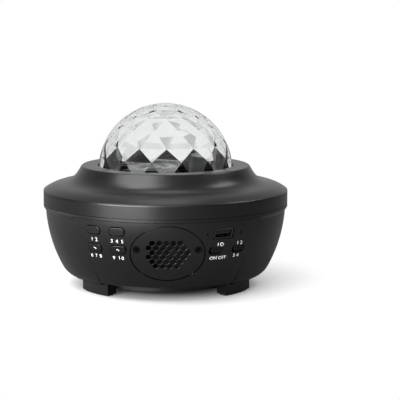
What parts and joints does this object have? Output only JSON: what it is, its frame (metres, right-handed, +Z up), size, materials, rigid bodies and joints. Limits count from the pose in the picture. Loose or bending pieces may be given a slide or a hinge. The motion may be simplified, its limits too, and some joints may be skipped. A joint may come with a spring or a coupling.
{
  "type": "star night light projector",
  "caption": "Round black table-top night light projector: clear dome faceted inside, wide-brimmed bowl-shaped case on curved feet, front control panel with oval speaker grille.",
  "frame": {"origin": "middle of the base, on the surface the feet stand on", "axes": "+Z up through the dome, -Y towards the control panel, +X to the right of the panel as it is faced"},
  "size_m": [0.1654, 0.1654, 0.1231],
  "materials": {
    "black_abs": "black ABS, injection moulded, fine satin texture",
    "clear_dome": "clear polycarbonate, polished outside, faceted inside",
    "clear_optics": "clear moulded acrylic lens",
    "grey_plastic": "grey acetal gear",
    "white_plastic": "white plastic",
    "steel": "zinc-plated steel",
    "nickel": "nickel-plated pressed steel",
    "aluminium": "extruded aluminium",
    "brass": "turned brass",
    "circuit_board": "green solder mask on glass-epoxy board",
    "white_board": "white solder mask on aluminium board",
    "rubber": "soft black rubber",
    "silicone": "translucent silicone",
    "paper_cone": "pressed black paper pulp",
    "magnet": "sintered ferrite"
  },
  "bodies": {
    "case": {"upper_cover": "black_abs", "lower_housing": "black_abs", "front_panel": "black_abs", "speaker_cover": "black_abs", "base_plate": "black_abs", "optics_deck": "black_abs", "faceted_dome": "clear_dome", "dome_gasket": "silicone", "foot_pads": "rubber", "case_screws": "steel", "base_screws": "steel", "deck_screws": "steel", "speaker_cover_screws": "steel", "speaker_screws": "steel", "board_screws": "steel", "main_board_screws": "steel", "heat_sink_screws": "steel", "speaker_basket": "nickel", "speaker_cone": "paper_cone", "speaker_magnet": "magnet", "button_board": "circuit_board", "control_board": "circuit_board", "main_board": "circuit_board", "main_board_components": "black_abs", "tact_switches": "white_plastic", "slide_switch_bodies": "nickel", "usb_port_shell": "nickel", "usb_port_tongue": "white_plastic", "motor_gearbox": "brass", "drive_motor": "steel", "laser_module": "brass", "condenser_lens": "clear_optics", "led_board": "white_board", "led_emitters": "clear_optics", "heat_sink": "aluminium", "power_jack": "black_abs", "power_jack_pin": "nickel"},
    "upper_left_button": {"upper_left_button": "black_abs"},
    "upper_right_button": {"upper_right_button": "black_abs"},
    "lower_left_button": {"lower_left_button": "black_abs"},
    "lower_right_button": {"lower_right_button": "black_abs"},
    "power_switch": {"power_switch_knob": "black_abs"},
    "source_switch": {"source_switch_knob": "black_abs"},
    "wave_wheel": {"wave_rotor": "white_plastic", "wave_lens": "clear_optics"},
    "pinion": {"drive_pinion": "grey_plastic"},
    "grating_wheel": {"grating_gear": "grey_plastic", "star_grating": "clear_optics"}
  },
  "joints": [
    {"name": "upper_left_press", "type": "slide", "parent": "case", "child": "upper_left_button", "axis": [0.4798, 0.8585, 0.1808], "range_m": [0, 0.0007], "stiffness_N_per_m": 400},
    {"name": "upper_right_press", "type": "slide", "parent": "case", "child": "upper_right_button", "axis": [0.4798, 0.8585, 0.1808], "range_m": [0, 0.0007], "stiffness_N_per_m": 400},
    {"name": "lower_left_press", "type": "slide", "parent": "case", "child": "lower_left_button", "axis": [0.4798, 0.8585, 0.1808], "range_m": [0, 0.0007], "stiffness_N_per_m": 400},
    {"name": "lower_right_press", "type": "slide", "parent": "case", "child": "lower_right_button", "axis": [0.4798, 0.8585, 0.1808], "range_m": [0, 0.0007], "stiffness_N_per_m": 400},
    {"name": "power_slide", "type": "slide", "parent": "case", "child": "power_switch", "axis": [-0.8771, -0.4802, 0], "range_m": [0, 0.002]},
    {"name": "source_slide", "type": "slide", "parent": "case", "child": "source_switch", "axis": [-0.8771, -0.4802, 0], "range_m": [0, 0.002]},
    {"name": "wave_spin", "type": "hinge", "parent": "case", "child": "wave_wheel", "pos_m": [-0.007, 0.002, 0.0755], "axis": [0, 0, 1], "continuous": true},
    {"name": "pinion_spin", "type": "hinge", "parent": "case", "child": "pinion", "pos_m": [-0.0016, -0.02863, 0.0755], "axis": [0, 0, 1], "continuous": true},
    {"name": "grating_spin", "type": "hinge", "parent": "case", "child": "grating_wheel", "pos_m": [0.02497, -0.00657, 0.0755], "axis": [0, 0, 1], "continuous": true}
  ],
  "couplings": [
    {"joint": "pinion_spin", "follows": "wave_spin", "ratio": -4.1667},
    {"joint": "grating_spin", "follows": "wave_spin", "ratio": -3.125}
  ]
}
